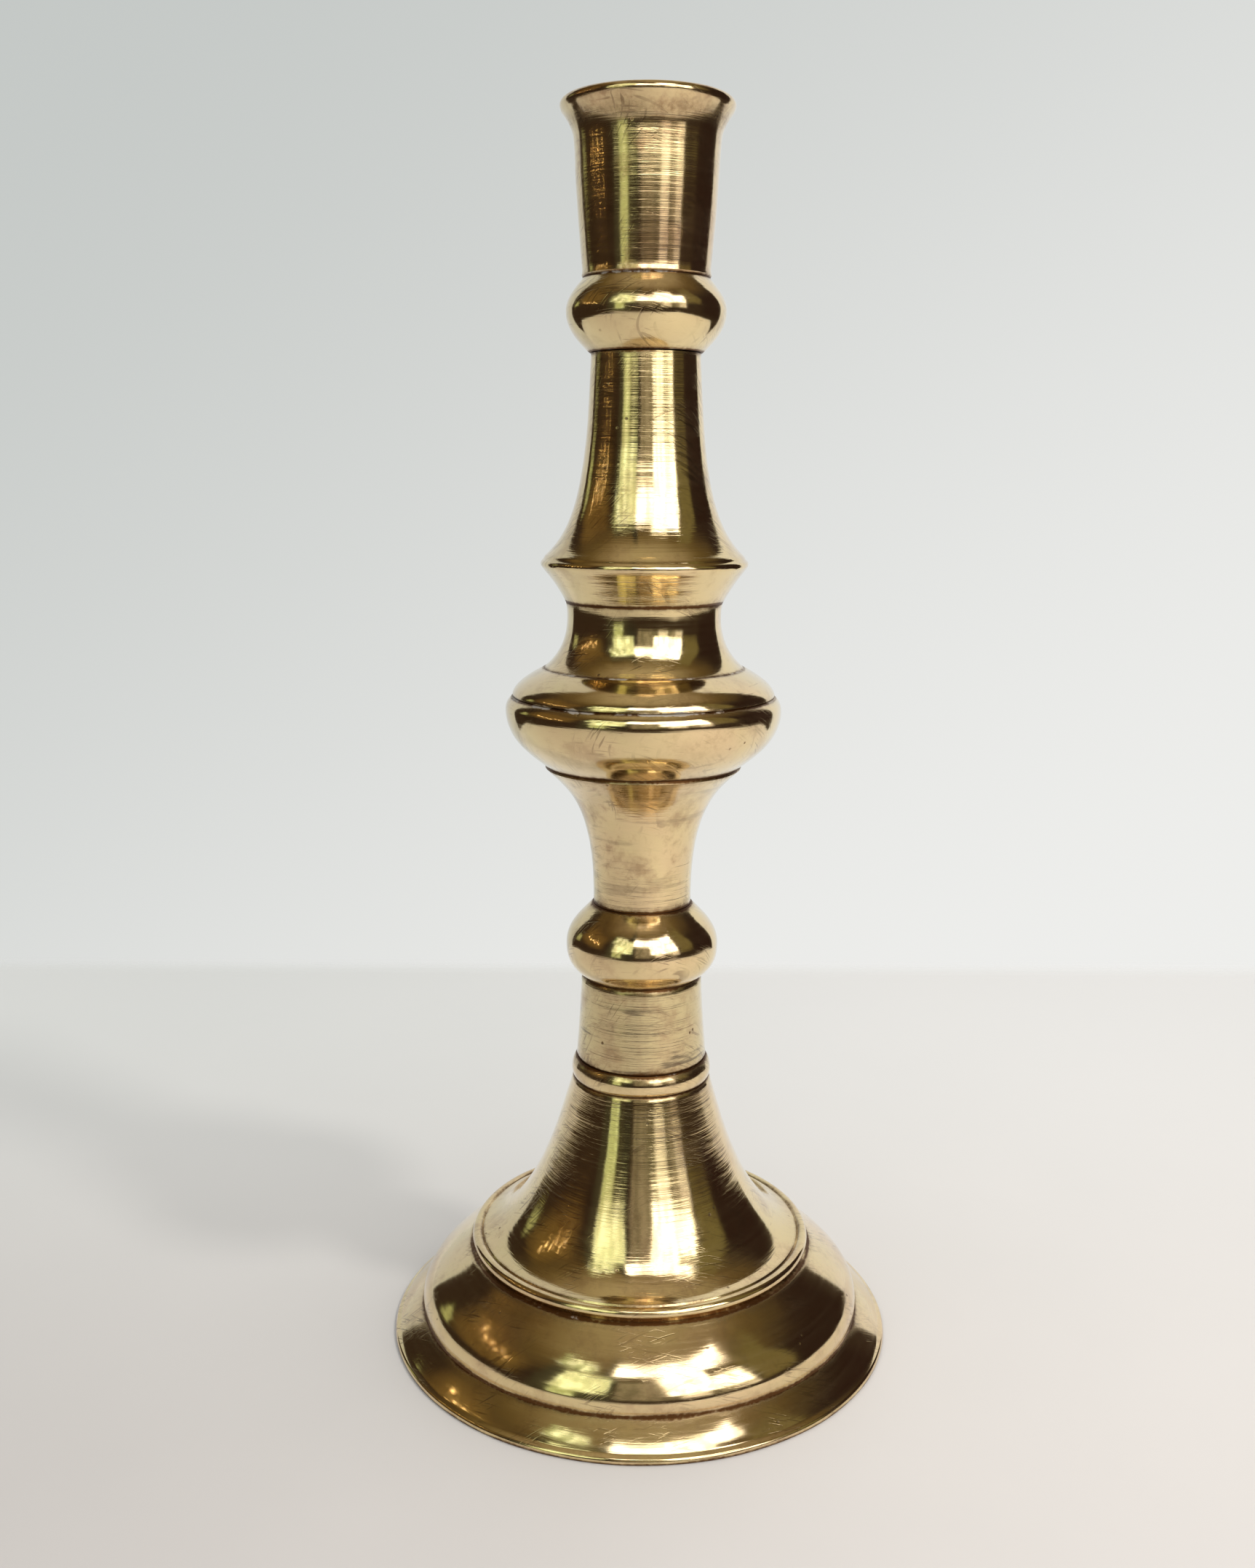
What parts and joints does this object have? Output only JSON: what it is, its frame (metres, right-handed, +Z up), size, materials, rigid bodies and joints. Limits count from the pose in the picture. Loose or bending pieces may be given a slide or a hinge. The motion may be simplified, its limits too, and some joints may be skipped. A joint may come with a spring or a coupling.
{
  "type": "candlestick",
  "caption": "Tall turned brass candlestick: flared candle cup, knops, flanged stem, fat bulb, trumpet and bell on a stepped round foot.",
  "frame": {"origin": "centre of the foot's underside, on the table", "axes": "+Z up along the turned axis, towards the candle cup"},
  "size_m": [0.1274, 0.1274, 0.3],
  "materials": {
    "brass": "polished, with dark patina and polish residue in the grooves",
    "steel": "dull, lightly tarnished"
  },
  "bodies": {
    "candlestick": {"socket": "brass", "upper_knop": "brass", "upper_stem": "brass", "waist": "brass", "bulb_cap": "brass", "bulb": "brass", "trumpet": "brass", "lower_knop": "brass", "neck": "brass", "neck_bead": "brass", "bell": "brass", "foot": "brass", "tie_rod": "steel", "clamp_plate": "steel"},
    "washer": {"washer": "steel"},
    "nut": {"nut": "steel"}
  },
  "joints": [
    {"name": "washer_drop", "type": "slide", "parent": "candlestick", "child": "washer", "axis": [0, 0, -1], "range_m": [0, 0.00375]},
    {"name": "nut_turn", "type": "hinge", "parent": "washer", "child": "nut", "pos_m": [0, 0, 0.00965], "axis": [0, 0, -1], "range_deg": [0, 1080]}
  ],
  "couplings": [
    {"joint": "nut_turn", "follows": "washer_drop", "rad_per_m": 5026.5}
  ]
}
